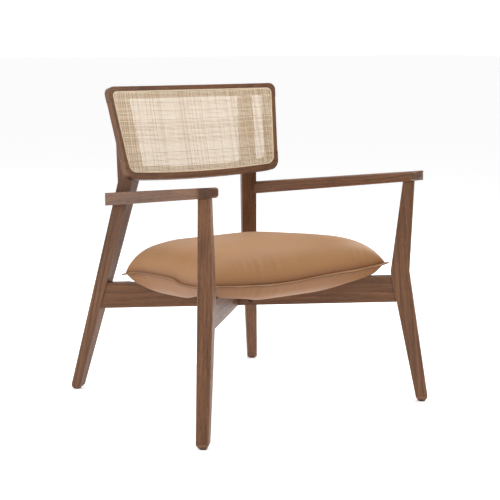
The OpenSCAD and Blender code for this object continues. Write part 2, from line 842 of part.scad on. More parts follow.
nail_d = 2.5;
nail_len = 18;
front_foot_mid = front_foot_reach - front_depths[0] / 2;
module front_foot_place(side) {
    diagonal(side) translate([front_foot_mid, 0, 0]) children();
}
module rear_foot_place(side) {
    rear_stand(side) translate([rear_depths[0] / 2, rear_foot_thick / 2, 0]) children();
}
module glide_nail_front(side) {
    front_foot_place(side) translate([0, 0, 1]) cylinder(d = nail_d, h = nail_len, $fn = fine);
}
module glide_nail_rear(side) {
    rear_foot_place(side) translate([0, 0, 1]) cylinder(d = nail_d, h = nail_len, $fn = fine);
}
module foot_glides() {
    color(glide_colour) for (side = [-1, 1]) {
        difference() {
            front_foot_place(side) cylinder(d1 = glide_d - 2, d2 = glide_d, h = glide_t, $fn = fine);
            glide_nail_front(side);
        }
        difference() {
            rear_foot_place(side) cylinder(d1 = glide_d - 2, d2 = glide_d, h = glide_t, $fn = fine);
            glide_nail_rear(side);
        }
    }
}
module glide_nails() {
    color(steel_colour) for (side = [-1, 1]) {
        glide_nail_front(side);
        glide_nail_rear(side);
    }
}

front_leg(-1);  // front_leg_left
front_leg(1);  // front_leg_right
rear_leg(-1);  // rear_leg_left
rear_leg(1);  // rear_leg_right
cross_rail(-1);  // cross_rail_left
cross_rail(1);  // cross_rail_right
rail_tenons();
lap_screw();
rail_pin();
armrest(-1);  // armrest_left
armrest(1);  // armrest_right
arm_tenons();
arm_bolts();
arm_barrel_nuts();
arm_bolt_plugs();
back_rail(joint_high, back_h + 20, 1);  // back_top_rail
back_rail(-20, joint_low, 0);  // back_bottom_rail
back_stile(-1);  // back_stile_left
back_stile(1);  // back_stile_right
back_dowels();
cane_panel();
cane_spline();
back_screws();
back_screw_plugs();
seat_board();
seat_foam();
belly_foam();
seat_cover_top();
seat_cover_bottom();
seat_flange();
seat_tee_nuts();
seat_bolts();
foot_glides();
glide_nails();
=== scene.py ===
import json
import math
import random

import bmesh
import bpy
import numpy as np
from bpy.props import BoolProperty, FloatProperty, FloatVectorProperty, IntProperty, PointerProperty
from mathutils import Matrix, Vector
from mathutils.bvhtree import BVHTree

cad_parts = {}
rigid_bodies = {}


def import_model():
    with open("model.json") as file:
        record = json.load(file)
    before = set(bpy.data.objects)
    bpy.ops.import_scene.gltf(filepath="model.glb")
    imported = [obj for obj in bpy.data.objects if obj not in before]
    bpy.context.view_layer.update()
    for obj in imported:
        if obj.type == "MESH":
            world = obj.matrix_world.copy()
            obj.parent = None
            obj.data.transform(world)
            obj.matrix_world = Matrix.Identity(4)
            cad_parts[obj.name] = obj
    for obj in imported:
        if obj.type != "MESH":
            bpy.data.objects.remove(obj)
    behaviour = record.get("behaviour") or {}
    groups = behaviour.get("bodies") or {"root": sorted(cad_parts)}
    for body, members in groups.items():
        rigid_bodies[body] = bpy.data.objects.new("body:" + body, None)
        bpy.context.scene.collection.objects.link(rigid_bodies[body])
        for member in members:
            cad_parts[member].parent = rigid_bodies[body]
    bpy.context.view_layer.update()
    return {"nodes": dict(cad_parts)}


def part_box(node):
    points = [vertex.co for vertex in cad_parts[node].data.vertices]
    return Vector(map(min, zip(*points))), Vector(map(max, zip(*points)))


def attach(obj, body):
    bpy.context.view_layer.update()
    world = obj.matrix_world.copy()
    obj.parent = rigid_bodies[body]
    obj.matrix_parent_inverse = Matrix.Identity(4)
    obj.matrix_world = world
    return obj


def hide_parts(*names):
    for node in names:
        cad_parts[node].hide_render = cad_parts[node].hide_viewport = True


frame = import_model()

bl_info = {
    "name": "Lounge armchair",
    "version": (1, 0, 0),
    "blender": (4, 5, 0),
    "location": "3D View > Sidebar > Armchair",
    "description": "Builds the wood, the woven cane back and the leather seat of a lounge armchair",
    "category": "Object",
}

NODES = frame["nodes"]
CROSSING = (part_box("lap_screw")[0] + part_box("lap_screw")[1]) / 2

LEGS = ["front_leg_left", "front_leg_right", "rear_leg_left", "rear_leg_right"]
RAILS = ["cross_rail_left", "cross_rail_right"]
ARMS = ["armrest_left", "armrest_right"]
BACK_FRAME = ["back_top_rail", "back_bottom_rail", "back_stile_left", "back_stile_right"]
PLUGS = ["arm_bolt_plugs", "back_screw_plugs", "rail_pin"]
JOINERY = ["rail_tenons", "arm_tenons", "back_dowels"]
METALWORK = ["lap_screw", "arm_bolts", "arm_barrel_nuts", "back_screws"]
METALWORK += ["seat_tee_nuts", "seat_bolts", "glide_nails"]

# Fixed choices. Lengths are in metres.
SAME_PLACE = 2e-6
CREASE = math.radians(24)  # edges flatter or shorter than this stay sharp
SHORTEST_EDGE = 0.0009
INNER_REACH = 0.0145  # how far an arm's inner edges lie from its middle
PLUG_ROUNDING = 0.0011
PLUG_RING = (0.006, 0.003, 0.002)  # the dark line round a plug
GRAIN_STEP = (0.731, 0.113, 0.271)  # from one piece's grain to the next one's
CANE_DEPTH = 0.00075  # of the weave, behind the panel's curve
REED_DEPTH = 0.0010
DARK_STRANDS = 0.08  # share of much darker strands
# The dark band beside the seam is painted shade.
SEAM_SHADE_WIDTH = 0.022  # width of the dark band beside the seam, in half widths
SETTLED, PLAIN = 0.2, 0.8  # shares of settled leather and plain dome in the crown
FLANGE_STEPS = 150  # places along each side of the flange
STITCH_LINE = 0.35  # share of the flange's width at which it is sewn
FLANGE_TOP = [(-0.5, 0.9), (0.0, 1.0), (STITCH_LINE, 0.82), (0.7, 1.0), (0.93, 0.8), (1.0, 0.25)]
FLANGE_RIM = [(1.0, -0.05), (0.985, -0.3)]
CLOTH = {"quality": 6, "mass": 0.35, "use_pressure": True, "uniform_pressure_force": 4.0}
CLOTH |= {"tension_stiffness": 22, "compression_stiffness": 22, "shear_stiffness": 12}
CLOTH |= {"bending_stiffness": 3.0, "vertex_group_mass": "held"}
CLOTH_STEPS = 20
LAMPS = {  # place, size and power
    "key_light": ((2.9, 0.3, 2.0), 1.8, 52.0),
    "top_light": ((0.2, 0.3, 3.0), 2.4, 30.0),
    "front_light": ((0.3, -2.3, 3.0), 1.8, 26.0),
    "left_fill": ((-3.0, 0.3, 1.6), 1.8, 28.0),
}


# ---- sizes and colours that a user would change ----


def number(text, default, **limits):
    return FloatProperty(description=text, default=default, **limits)


def length(text, default):
    return number(text, default, min=0.0, unit="LENGTH", subtype="DISTANCE")


def angle(text, degrees):
    return number(text, math.radians(degrees), unit="ROTATION", subtype="ANGLE")


def colour(text, rgb):
    limits = {"size": 3, "min": 0.0, "max": 1.0, "subtype": "COLOR"}
    return FloatVectorProperty(description=text, default=rgb, **limits)


class WoodSettings(bpy.types.PropertyGroup):
    edge_radius: length("Rounding of the edges of the legs, rails and arms", 0.0016)
    back_radius: length("Rounding of the edges of the back frame", 0.0018)
    arm_radius: length("Rounding of the inner long edges of the arms", 0.0072)
    dark: colour("Colour of the dark figure in the walnut", (0.082, 0.031, 0.0115))
    light: colour("Colour of the light figure in the walnut", (0.205, 0.088, 0.036))
    worn: colour("Colour of the walnut where the edges are rubbed", (0.26, 0.14, 0.07))


class BackSettings(bpy.types.PropertyGroup):
    behind: length("Distance from the rail crossing back to the panel's lower edge", 0.1313)
    height: length("Height of the panel's lower edge above the floor", 0.546)
    recline: angle("Backward tilt of the panel", 13.5)
    low_half: length("Half width of the panel at its lower edge", 0.233)
    high_half: length("Half width of the panel at its upper edge", 0.259)
    tall: length("Height of the panel along its slope", 0.228)
    bend: length("Radius of the panel's curve", 1.524)
    low_bow: length("Outward bow of the lower edge", 0.006)
    high_bow: length("Outward bow of the upper edge", 0.004)
    low_corner: length("Radius of the lower corners", 0.026)
    high_corner: length("Radius of the upper corners", 0.016)
    groove: length("Distance from the panel's edge to the middle of the spline", 0.013)
    low_extra: length("Extra distance to the spline along the lower edge", 0.0045)
    corner_ease: number("Share of the inset that tightens a corner", 0.4)
    spline: length("Width of the reed in the groove", 0.003)
    pitch: length("Distance between neighbouring cane strands", 0.0033)
    strand: length("Width of one cane strand", 0.00155)
    strand_thick: length("Thickness of one cane strand", 0.00048)
    cane: colour("Colour of the cane strands", (0.9, 0.765, 0.585))
    cane_dark: colour("Colour of the darker cane strands", (0.62, 0.43, 0.25))
    reed: colour("Colour of the reed spline", (0.82, 0.67, 0.47))


class SeatSettings(bpy.types.PropertyGroup):
    height: length("Height of the seat's seam over the rail crossing", 0.315)
    tilt: angle("Backward tilt of the seat", 4.05)
    front: length("Distance from the crossing to the front seam", 0.265)
    back: length("Distance from the crossing to the back seam", 0.185)
    front_half: length("Half width of the seat at its front seam", 0.269)
    back_half: length("Half width of the seat at its back seam", 0.203)
    crown: length("Height of the crown above the seam", 0.09)
    front_belly: length("Extra depth of the belly near the front seam", 0.005)
    side_bow: length("Rise of the side seams between their corners", 0.012)
    seam_lift: length("Rise of the whole seam above its plane", 0.0025)
    front_sag: length("Sag of the front seam at its middle", 0.008)
    ear_lift: length("Rise of the seam at the front corners", 0.008)
    flange: length("Width of the sewn flange", 0.0078)
    droop: angle("Downward tilt of the flange", 14.0)
    leather: length("Thickness of the leather", 0.0016)
    stitch: length("Length of one stitch", 0.0027)
    stitch_gap: length("Distance between the middles of two stitches", 0.0042)
    pucker: length("Depth of the puckers beside the seam", 0.0006)
    cells: IntProperty(description="Cells across each leather panel", default=84, min=20, max=160)
    seed: IntProperty(description="Seed of the puckers and waves", default=7, min=0)
    settle: BoolProperty(description="Let the leather settle over its filling", default=True)
    tan: colour("Colour of the leather", (0.385, 0.19, 0.068))
    # tan_dark is the leather's darker tone in its clouds and grain, and also the colour of the painted shade
    # beside the seams, in the folds and underneath.
    tan_dark: colour("Colour of the leather in its folds", (0.22, 0.083, 0.024))
    thread: colour("Colour of the sewing thread", (0.3, 0.15, 0.07))


class StageSettings(bpy.types.PropertyGroup):
    eye: FloatVectorProperty(
        description="Where the camera stands",
        default=(-1.98222, -2.63488, 0.87746),
        subtype="XYZ",
    )
    turn: angle("Turn of the camera from straight ahead", -37.44)
    pitch: angle("Angle of the camera from straight down", 81.266)
    lens: number("Focal length in millimetres", 97.09, min=20.0, max=200.0)
    floor: colour("Colour of the floor", (0.97, 0.97, 0.97))
    glow: number("Strength of the soft light from all round", 0.72, min=0.0)
    glow_shift: number("How much more of it comes from behind", 0.3)


# ---- node trees ----


def combined(operation, swapped=False):
    """A method that joins a wire and a second value in one math node."""

    def method(self, other):
        terms = (other, self) if swapped else (self, other)
        return self.tree.node("ShaderNodeMath", {"operation": operation}, dict(enumerate(terms)))

    return method


class Wire:
    """An output of a node, which sums and products can be made from."""

    def __init__(self, tree, socket):
        self.tree = tree
        self.socket = socket

    __add__, __radd__ = combined("ADD"), combined("ADD", True)
    __sub__, __rsub__ = combined("SUBTRACT"), combined("SUBTRACT", True)
    __mul__ = combined("MULTIPLY")


class NodeTree:
    """A node tree whose nodes are added by kind, settings and inputs."""

    prefix = "ShaderNode"

    def __init__(self, tree):
        self.tree = tree

    def node(self, kind, settings=None, inputs=None, output=0):
        made = self.tree.nodes.new(kind if "Node" in kind else self.prefix + kind)
        for key, value in (settings or {}).items():
            if key == "stops":
                self._stops(made.color_ramp, value)
            else:
                setattr(made, key, value)
        for key, value in (inputs or {}).items():
            socket = self._socket(made.inputs, key)
            if isinstance(value, Wire):
                self.tree.links.new(value.socket, socket)
            else:
                socket.default_value = value
        return Wire(self, self._socket(made.outputs, output)) if made.outputs else None

    def _stops(self, ramp, stops):
        while len(ramp.elements) < len(stops):
            ramp.elements.new(1.0)
        for element, (place, value) in zip(ramp.elements, stops):
            element.position = place
            element.color = (value, value, value, 1.0)

    def _socket(self, sockets, key):
        if isinstance(key, int):
            return sockets[key]
        for socket in sockets:
            if socket.identifier == key:
                return socket
        return sockets[key]


class Finish(NodeTree):
    """A material for one of the chair's finishes."""

    def __init__(self, name):
        self.material = bpy.data.materials.new(name)
        self.material.use_nodes = True
        super().__init__(self.material.node_tree)
        self.tree.nodes.clear()

    def noise(self, vector, scale, detail=2.0, rough=0.5, distortion=0.0):
        return self.node(
            "TexNoise",
            None,
            {"Vector": vector, "Scale": scale, "Detail": detail, "Roughness": rough, "Distortion": distortion},
        )

    def stretched(self, vector, scale, offset=(0.0, 0.0, 0.0)):
        return self.node("Mapping", None, {"Vector": vector, "Scale": scale, "Location": offset})

    def streaks(self, vector, scale, *look):
        """Noise whose scale differs along the three axes."""
        return self.noise(self.stretched(vector, scale), 1.0, *look)

    def ramp(self, value, *stops):
        return self.node("ValToRGB", {"stops": stops}, {"Fac": value})

    def blend(self, factor, first, second, mode="MIX"):
        inputs = {"Factor_Float": factor, "A_Color": rgba(first), "B_Color": rgba(second)}
        return self.node("Mix", {"data_type": "RGBA", "blend_type": mode}, inputs, "Result_Color")

    def place(self):
        return self.node("TexCoord", None, None, "Object")

    def attribute(self, name, output):
        return self.node("Attribute", {"attribute_name": name}, None, output)

    def bump(self, height, strength, distance):
        return self.node("Bump", None, {"Height": height, "Strength": strength, "Distance": distance})

    def finish(self, base, rough, normal=None, **others):
        surface = {"Base Color": base, "Roughness": rough, **others}
        if normal is not None:
            surface["Normal"] = normal
        shader = self.node("BsdfPrincipled", None, {key: rgba(value) for key, value in surface.items()})
        self.node("OutputMaterial", None, {"Surface": shader})
        return self.material


def rgba(value):
    if isinstance(value, (Wire, float, int)):
        return value
    return (*value, 1.0)


def shaded(rgb, share):
    return tuple(min(1.0, share * c) for c in rgb)


class Plan(NodeTree):
    """A Geometry Nodes tree with named inputs."""

    prefix = "GeometryNode"

    def __init__(self, name, sizes):
        super().__init__(bpy.data.node_groups.new(name, "GeometryNodeTree"))
        face = self.tree.interface
        face.new_socket(name="Geometry", in_out="OUTPUT", socket_type="NodeSocketGeometry")
        face.new_socket(name="Guide", in_out="INPUT", socket_type="NodeSocketGeometry")
        self.ids = {}
        for key in sizes:
            self.ids[key] = face.new_socket(name=key, in_out="INPUT", socket_type="NodeSocketFloat").identifier
        self.entry = self.tree.nodes.new("NodeGroupInput")

    def input(self, name):
        return Wire(self, self.entry.outputs[name])

    def guide_curve(self):
        return self.node("MeshToCurve", None, {"Mesh": self.input("Guide")})

    def finish(self, geometry, material):
        real = self.node("RealizeInstances", None, {"Geometry": geometry})
        dressed = self.node("SetMaterial", None, {"Geometry": real, "Material": material})
        self.node("NodeGroupOutput", None, {"Geometry": dressed})

    def run(self, name, guide, sizes):
        """Runs the tree on the guide mesh and keeps the result as a plain mesh."""
        carrier = add_object(name + "_guide", guide)
        modifier = carrier.modifiers.new("Plan", "NODES")
        modifier.node_group = self.tree
        for key, value in sizes.items():
            modifier[self.ids[key]] = float(value)
        ready = carrier.evaluated_get(bpy.context.evaluated_depsgraph_get())
        mesh = bpy.data.meshes.new_from_object(ready)
        bpy.data.objects.remove(carrier)
        return add_object(name, mesh)


# ---- finishes ----


def walnut(name, dark, light, worn):
    """Satin walnut. Reads the piece's own grain attribute: X runs along the grain, in metres."""
    f = Finish(name)
    grain = f.attribute("grain", "Vector")
    drift = f.streaks(grain, (3, 9, 9), 2)
    shift = f.node("CombineXYZ", None, {"X": 0, "Y": drift, "Z": drift})
    terms = {0: shift, 1: (1, 0.02, 0.02), 2: grain}
    waved = f.node("VectorMath", {"operation": "MULTIPLY_ADD"}, terms)
    figure = f.streaks(waved, (2.4, 85, 85), 5, 0.66, 0.4)
    rings = f.node(
        "TexWave",
        {"wave_type": "RINGS", "rings_direction": "X", "wave_profile": "SAW"},
        {
            "Vector": f.stretched(waved, (1, 1, 1), (0, 0.055, 0.083)),
            "Scale": 46,
            "Distortion": 1.6,
            "Detail": 3,
            "Detail Scale": 1.2,
            "Detail Roughness": 0.6,
        },
        "Fac",
    )
    fibre = f.streaks(waved, (14, 900, 900), 3, 0.7)
    pores = f.ramp(f.streaks(waved, (38, 1500, 1500), 1), (0.56, 0), (0.68, 1))
    cloud = f.streaks(grain, (4, 12, 12), 1)
    streak = f.streaks(waved, (5, 300, 300), 3, 0.65)
    mixed = figure * 0.36 + rings * 0.12 + streak * 0.42 + fibre * 0.1 + cloud * 0.16
    base = f.blend(f.ramp(mixed, (0.42, 0), (0.7, 1)), dark, light)
    base = f.blend(pores * 0.5, base, shaded(dark, 0.45))
    rubbed = f.attribute("rubbed", "Fac") * f.ramp(f.noise(grain, 60, 3), (0.35, 0.15), (0.65, 0.75))
    base = f.blend(rubbed, base, worn)
    base = f.blend(f.attribute("end_grain", "Fac") * 0.6, base, shaded(dark, 0.75))
    height = fibre * 0.5 + figure * 0.4 - pores * 0.9
    return f.finish(
        base,
        0.37 + fibre * 0.1 + pores * 0.18 + cloud * 0.06,
        f.bump(height, 0.35, 0.00035),
        **{"Specular IOR Level": 0.38},
    )


def raw_wood(name, light, dark, across):
    """Unfinished wood inside joints, with streaks that are close across the given scale."""
    f = Finish(name)
    streak = f.streaks(f.place(), across, 4, 0.6)
    fine = f.noise(f.place(), 420, 2)
    base = f.blend(f.ramp(streak, (0.35, 0), (0.68, 1)), dark, light)
    return f.finish(
        f.blend(fine * 0.25, base, dark),
        0.62 + fine * 0.15,
        f.bump(streak + fine * 0.4, 0.3, 0.0003),
    )


def cane(name, light, dark):
    """Natural cane: each strand has its own tone, with fine lines and stained spots."""
    f = Finish(name)
    tone = f.attribute("tone", "Fac")
    place = f.place()
    mottle = f.noise(place, 55, 3, 0.6)
    fine = f.noise(place, 1300, 2)
    spot = f.ramp(f.noise(place, 240, 2), (0.6, 0), (0.74, 1))
    base = f.blend(f.ramp(tone * 0.7 + mottle * 0.55, (0.3, 0), (0.95, 1)), light, dark)
    base = f.blend(spot * 0.35, base, shaded(dark, 0.55))
    return f.finish(base, 0.4 + fine * 0.2, f.bump(fine, 0.3, 0.0001))


def leather(name, tan, dark):
    """Smooth tan leather: pebbled grain, soft clouds, a few scuffs, and painted shade in folds, beside the
    seams, under the flange and underneath.
    """
    f = Finish(name)
    place = f.place()
    seam = f.attribute("seam", "Fac")
    cells = f.node("TexVoronoi", {"feature": "DISTANCE_TO_EDGE"}, {"Vector": place, "Scale": 620})
    pebbles = f.ramp(cells, (0, 0), (0.22, 1))
    fine = f.noise(place, 1500, 2)
    cloud = f.noise(place, 9, 3, 0.55)
    scuff = f.ramp(f.streaks(place, (40, 55, 40), 5, 0.7), (0.58, 0), (0.8, 1))
    clouded = tuple(0.72 * a + 0.28 * b for a, b in zip(tan, dark))
    base = f.blend(f.ramp(cloud, (0.3, 0), (0.72, 0.34)), tan, clouded)
    base = f.blend(scuff * 0.14, base, shaded(tan, 1.35))
    # Painted shade: the seam attribute darkens the leather beside the seam, in pucker hollows and underneath;
    # above 1 it paints the near-black shadow under the flange and on its lower rim.
    base = f.blend(seam * 0.8, base, dark)
    base = f.blend((seam - 1) * 3.2, base, shaded(dark, 0.3))
    base = f.blend((1 - pebbles) * 0.16, base, dark)
    return f.finish(
        base,
        0.47 + cloud * 0.12 - scuff * 0.05 + (1 - pebbles) * 0.08,
        f.bump(pebbles * 0.7 + fine * 0.3, 0.25, 0.00022),
        **{"Sheen Weight": 0.06},
    )


def thread(name, shade):
    """Twisted sewing thread."""
    f = Finish(name)
    twist = f.noise(f.place(), 1800, 1)
    return f.finish(
        f.blend(f.ramp(twist, (0.35, 0), (0.65, 1)), shaded(shade, 0.6), shade),
        0.55 + twist * 0.1,
        f.bump(twist, 0.5, 0.0002),
    )


def foam(name):
    """Open-celled upholstery foam."""
    f = Finish(name)
    cells = f.node("TexVoronoi", {"feature": "F1"}, {"Vector": f.place(), "Scale": 520}, "Distance")
    cloud = f.noise(f.place(), 14, 2)
    base = f.blend(cloud, (0.84, 0.77, 0.54), (0.76, 0.66, 0.4))
    return f.finish(
        f.blend(f.ramp(cells, (0.2, 0), (0.6, 0.5)), base, (0.5, 0.42, 0.24)),
        0.85 + cloud * 0.1,
        f.bump(cells, 0.6, 0.0008),
    )


def zinc(name):
    """Zinc-plated steel with fine drawn lines and dull spots."""
    f = Finish(name)
    lines = f.streaks(f.place(), (300, 300, 3500), 2)
    bloom = f.noise(f.place(), 160, 3)
    return f.finish(
        f.blend(bloom, (0.5, 0.5, 0.52), (0.68, 0.68, 0.7)),
        0.28 + lines * 0.12 + bloom * 0.14,
        f.bump(lines, 0.2, 0.0001),
        Metallic=1,
    )


def glide_rubber(name):
    """Matt black glide with a scuffed, slightly dusty face."""
    f = Finish(name)
    grit = f.noise(f.place(), 900, 3)
    dust = f.ramp(f.noise(f.place(), 120, 3), (0.45, 0), (0.75, 0.5))
    return f.finish(
        f.blend(dust, (0.018, 0.017, 0.016), (0.09, 0.085, 0.08)),
        0.6 + grit * 0.25,
        f.bump(grit, 0.4, 0.0002),
    )


def floor_paper(name, shade):
    """Pale seamless floor."""
    f = Finish(name)
    mottle = f.noise(f.place(), 3, 2)
    return f.finish(
        f.blend(mottle, shaded(shade, 0.985), shade),
        0.85 + mottle * 0.05,
        **{"Emission Color": (1, 1, 1), "Emission Strength": 0.4},
    )


# ---- mesh helpers ----


def add_object(name, data):
    made = bpy.data.objects.new(name, data)
    bpy.context.scene.collection.objects.link(made)
    return made


def settle_piece(piece, slot_name, *replaced):
    """Joins a finished piece to the chair."""
    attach(piece, "root")
    if replaced:
        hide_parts(*replaced)
    return piece


def merged(node):
    """The node's shape with its doubled corners made one."""
    bm = bmesh.new()
    bm.from_mesh(NODES[node].data)
    bmesh.ops.remove_doubles(bm, verts=bm.verts, dist=SAME_PLACE)
    return bm


def welded(node):
    """The node's shape as one closed mesh with whole flat faces."""
    bm = merged(node)
    bmesh.ops.dissolve_limit(bm, angle_limit=math.radians(0.15), verts=bm.verts, edges=bm.edges)
    return bm


def smooth_mesh(bm, name):
    """A new mesh of the shape, shaded smooth."""
    for face in bm.faces:
        face.smooth = True
    mesh = bpy.data.meshes.new(name)
    bm.to_mesh(mesh)
    bm.free()
    return mesh


def crease(edge):
    """The angle between the two faces of an edge."""
    return edge.calc_face_angle() if len(edge.link_faces) == 2 else 0.0


def islands(node):
    """The box of each separate solid in a node, let out a little."""
    bm = merged(node)
    left = set(bm.verts)
    boxes = []
    while left:
        stack = [left.pop()]
        co = []
        while stack:
            v = stack.pop()
            co.append(v.co.copy())
            for e in v.link_edges:
                other = e.other_vert(v)
                if other in left:
                    left.remove(other)
                    stack.append(other)
        co = np.array(co)
        boxes.append((co.min(0) - 0.0014, co.max(0) + 0.0014))
    bm.free()
    return boxes


def main_axis(co):
    """Turns points into the piece's own frame, with X along its longest direction."""
    middle = co.mean(0)
    _, _, axes = np.linalg.svd(co - middle, full_matrices=False)
    for axis in axes:
        if axis[np.abs(axis).argmax()] < 0:
            axis *= -1
    return (co - middle) @ axes.T


def points_of(mesh):
    co = np.zeros(len(mesh.vertices) * 3, np.float32)
    mesh.vertices.foreach_get("co", co)
    return co.reshape(-1, 3).astype(float)


def set_points(mesh, co):
    mesh.vertices.foreach_set("co", np.asarray(co, np.float32).ravel())
    mesh.update()


def write_attribute(mesh, name, values, domain="POINT"):
    values = np.asarray(values, np.float32)
    kind, field = ("FLOAT_VECTOR", "vector") if values.ndim == 2 else ("FLOAT", "value")
    mesh.attributes.new(name, kind, domain).data.foreach_set(field, values.ravel())


def round_inside(bm, radius):
    """Rounds the edges on an arm's inner side, above and below, and their turn at the front."""
    co = np.array([v.co for v in bm.verts])
    middle = Vector((co.min(0) + co.max(0)) / 2)
    longest = max(bm.edges, key=lambda e: e.calc_length())
    along = longest.verts[1].co - longest.verts[0].co
    inward = Vector((along.y, -along.x, 0)).normalized()
    if inward.x * middle.x > 0:
        inward.negate()
    inner = [
        e
        for e in bm.edges
        if crease(e) > 1.0
        and abs(e.verts[0].co.z - e.verts[1].co.z) < 0.5 * e.calc_length()
        and ((e.verts[0].co + e.verts[1].co) / 2 - middle).dot(inward) > INNER_REACH
    ]
    round_edges(bm, inner, radius, 8, False)


def round_edges(bm, edges, radius, segments, clamped=True):
    return bmesh.ops.bevel(
        bm, geom=edges, offset=radius, segments=segments, profile=0.5, affect="EDGES", clamp_overlap=clamped
    )


def eased(node, radius, hidden, material, order, inner_radius=0.0):
    """A wooden piece with its outer edges rounded over, and its grain laid along it."""
    bm = welded(node)
    if inner_radius:
        round_inside(bm, inner_radius)
    edges = []
    for e in bm.edges:
        if crease(e) < CREASE or e.calc_length() < SHORTEST_EDGE or not e.is_convex:
            continue
        ends = [np.array(v.co) for v in e.verts]
        if any(all((lo <= p).all() and (p <= hi).all() for p in ends) for lo, hi in hidden):
            continue
        edges.append(e)
    rounded = set(round_edges(bm, edges, radius, 4)["faces"])
    bmesh.ops.recalc_face_normals(bm, faces=bm.faces)
    rubbed = [1.0 if face in rounded else 0.0 for face in bm.faces]
    axis = max(bm.edges, key=lambda e: e.calc_length())
    axis = (axis.verts[1].co - axis.verts[0].co).normalized()
    ends = [1.0 if abs(face.normal.dot(axis)) > 0.85 else 0.0 for face in bm.faces]
    mesh = smooth_mesh(bm, node + "_wood")
    write_attribute(mesh, "rubbed", rubbed, "FACE")
    write_attribute(mesh, "end_grain", ends, "FACE")
    own = main_axis(points_of(mesh)) + np.array(GRAIN_STEP) * order
    write_attribute(mesh, "grain", own)
    mesh.materials.append(material)
    mesh.set_sharp_from_angle(angle=math.radians(38))
    piece = add_object(node + "_wood", mesh)
    weigh = piece.modifiers.new("Even shading", "WEIGHTED_NORMAL")
    weigh.keep_sharp = True
    return piece


def dress(node, material):
    """Gives a node of the frame its finish."""
    for slot in NODES[node].material_slots:
        slot.material = material


# ---- the back's own frame ----


def back_frame(s):
    return Matrix.Translation((0, CROSSING.y + s.behind, s.height)) @ Matrix.Rotation(-s.recline, 4, "X")


def half_width(s, z):
    return s.low_half + (s.high_half - s.low_half) * z / s.tall


def corner_arc(p, q, r, radius, steps):
    """A round corner at q between p and r, as a row of points."""
    a = (p - q).normalized()
    b = (r - q).normalized()
    half = math.acos(a.dot(b)) / 2
    middle = q + (a + b).normalized() * radius / math.sin(half)
    u = q + a * radius / math.tan(half) - middle
    w = q + b * radius / math.tan(half) - middle
    turn = math.pi - 2 * half
    return [
        middle + (u * math.sin(turn * (1 - i / steps)) + w * math.sin(turn * i / steps)) / math.sin(turn)
        for i in range(steps + 1)
    ]


def back_outline(s, inset):
    """The panel's outline in its own X and Z, moved inwards, with its bowed edges and round corners."""
    lowest = inset + (s.low_extra if inset > 0 else 0.0)
    low = Vector((half_width(s, lowest) - inset, lowest))
    high = Vector((half_width(s, s.tall - inset) - inset, s.tall - inset))
    ease = s.corner_ease * inset
    radii = [max(corner - ease, 0.005) for corner in (s.low_corner, s.high_corner)]
    corners = [low, high, Vector((-high.x, high.y)), Vector((-low.x, low.y))]
    points = []
    for i, corner in enumerate(corners):
        radius = radii[0] if i in (0, 3) else radii[1]
        points += corner_arc(corners[i - 1], corner, corners[(i + 1) % 4], radius, 8)
        after = corners[(i + 1) % 4]
        points += [corner.lerp(after, k / 24) for k in range(2, 23)]
    bowed = []
    for p in points:
        t = (p.y - low.y) / (high.y - low.y)
        u = p.x / (low.x + (high.x - low.x) * t)
        arch = 1 - min(1.0, u * u)
        bowed.append((p.x, p.y + arch * (s.high_bow * t - s.low_bow * (1 - t))))
    return bowed


def bent_point(s, x, z, depth):
    """A point of the bent panel in the back's frame, and the way that it faces."""
    a = math.asin(x / s.bend)
    r = s.bend + depth
    return Vector((r * math.sin(a), r * math.cos(a) - s.bend, z)), Vector((math.sin(a), math.cos(a), 0))


def guide_mesh(name, lines, closed=False):
    """A mesh of polylines. Each line is a list of (place, facing, tone)."""
    mesh = bpy.data.meshes.new(name)
    places, edges = [], []
    for line in lines:
        first = len(places)
        places += [entry[0] for entry in line]
        edges += [(first + i, first + i + 1) for i in range(len(line) - 1)]
        if closed:
            edges.append((first + len(line) - 1, first))
    mesh.from_pydata(places, edges, [])
    write_attribute(mesh, "facing", [list(e[1]) for line in lines for e in line])
    write_attribute(mesh, "tone", [e[2] for line in lines for e in line])
    return mesh


def crossings(outline, across, at):
    """Where a straight line crosses a convex outline: the lowest and highest place on the other axis."""
    hits = []
    for p, q in zip(outline, outline[1:] + outline[:1]):
        a, b = p[across] - at, q[across] - at
        if (a <= 0 < b) or (b <= 0 < a):
            t = a / (a - b)
            hits.append(p[1 - across] + (q[1 - across] - p[1 - across]) * t)
    return (min(hits), max(hits)) if len(hits) > 1 else None


def weave_lines(s, upright, rng):
    """Guides for the strands that run one way, each passing over and under the others by turns."""
    outline = back_outline(s, s.groove)
    frame_matrix = back_frame(s)
    turn = frame_matrix.to_3x3()
    across = 0 if upright else 1
    low = min(p[across] for p in outline)
    high = max(p[across] for p in outline)
    lines = []
    for i in range(math.ceil(low / s.pitch), math.floor(high / s.pitch) + 1):
        at = i * s.pitch + rng.uniform(-0.06, 0.06) * s.pitch
        span = crossings(outline, across, at)
        if not span or span[1] - span[0] < 3 * s.pitch:
            continue
        tone = 1.3 if rng.random() < DARK_STRANDS else rng.random() ** 2.4
        lean = rng.uniform(-0.05, 0.05) * s.pitch
        first = math.ceil(2 * span[0] / s.pitch)
        last = math.floor(2 * span[1] / s.pitch)
        line = []
        for k in range(first, last + 1):
            along = k * s.pitch / 2
            over = 0.0 if k % 2 else (1.0 if (k // 2 + i) % 2 else -1.0)
            lift = over * (s.strand_thick * 0.55) * (1 if upright else -1)
            side = at + lean * math.sin(along * 31 + i)
            x, z = (side, along) if upright else (along, side)
            place, facing = bent_point(s, x, z, CANE_DEPTH + lift)
            line.append((frame_matrix @ place, turn @ facing, tone))
        lines.append(line)
    return lines


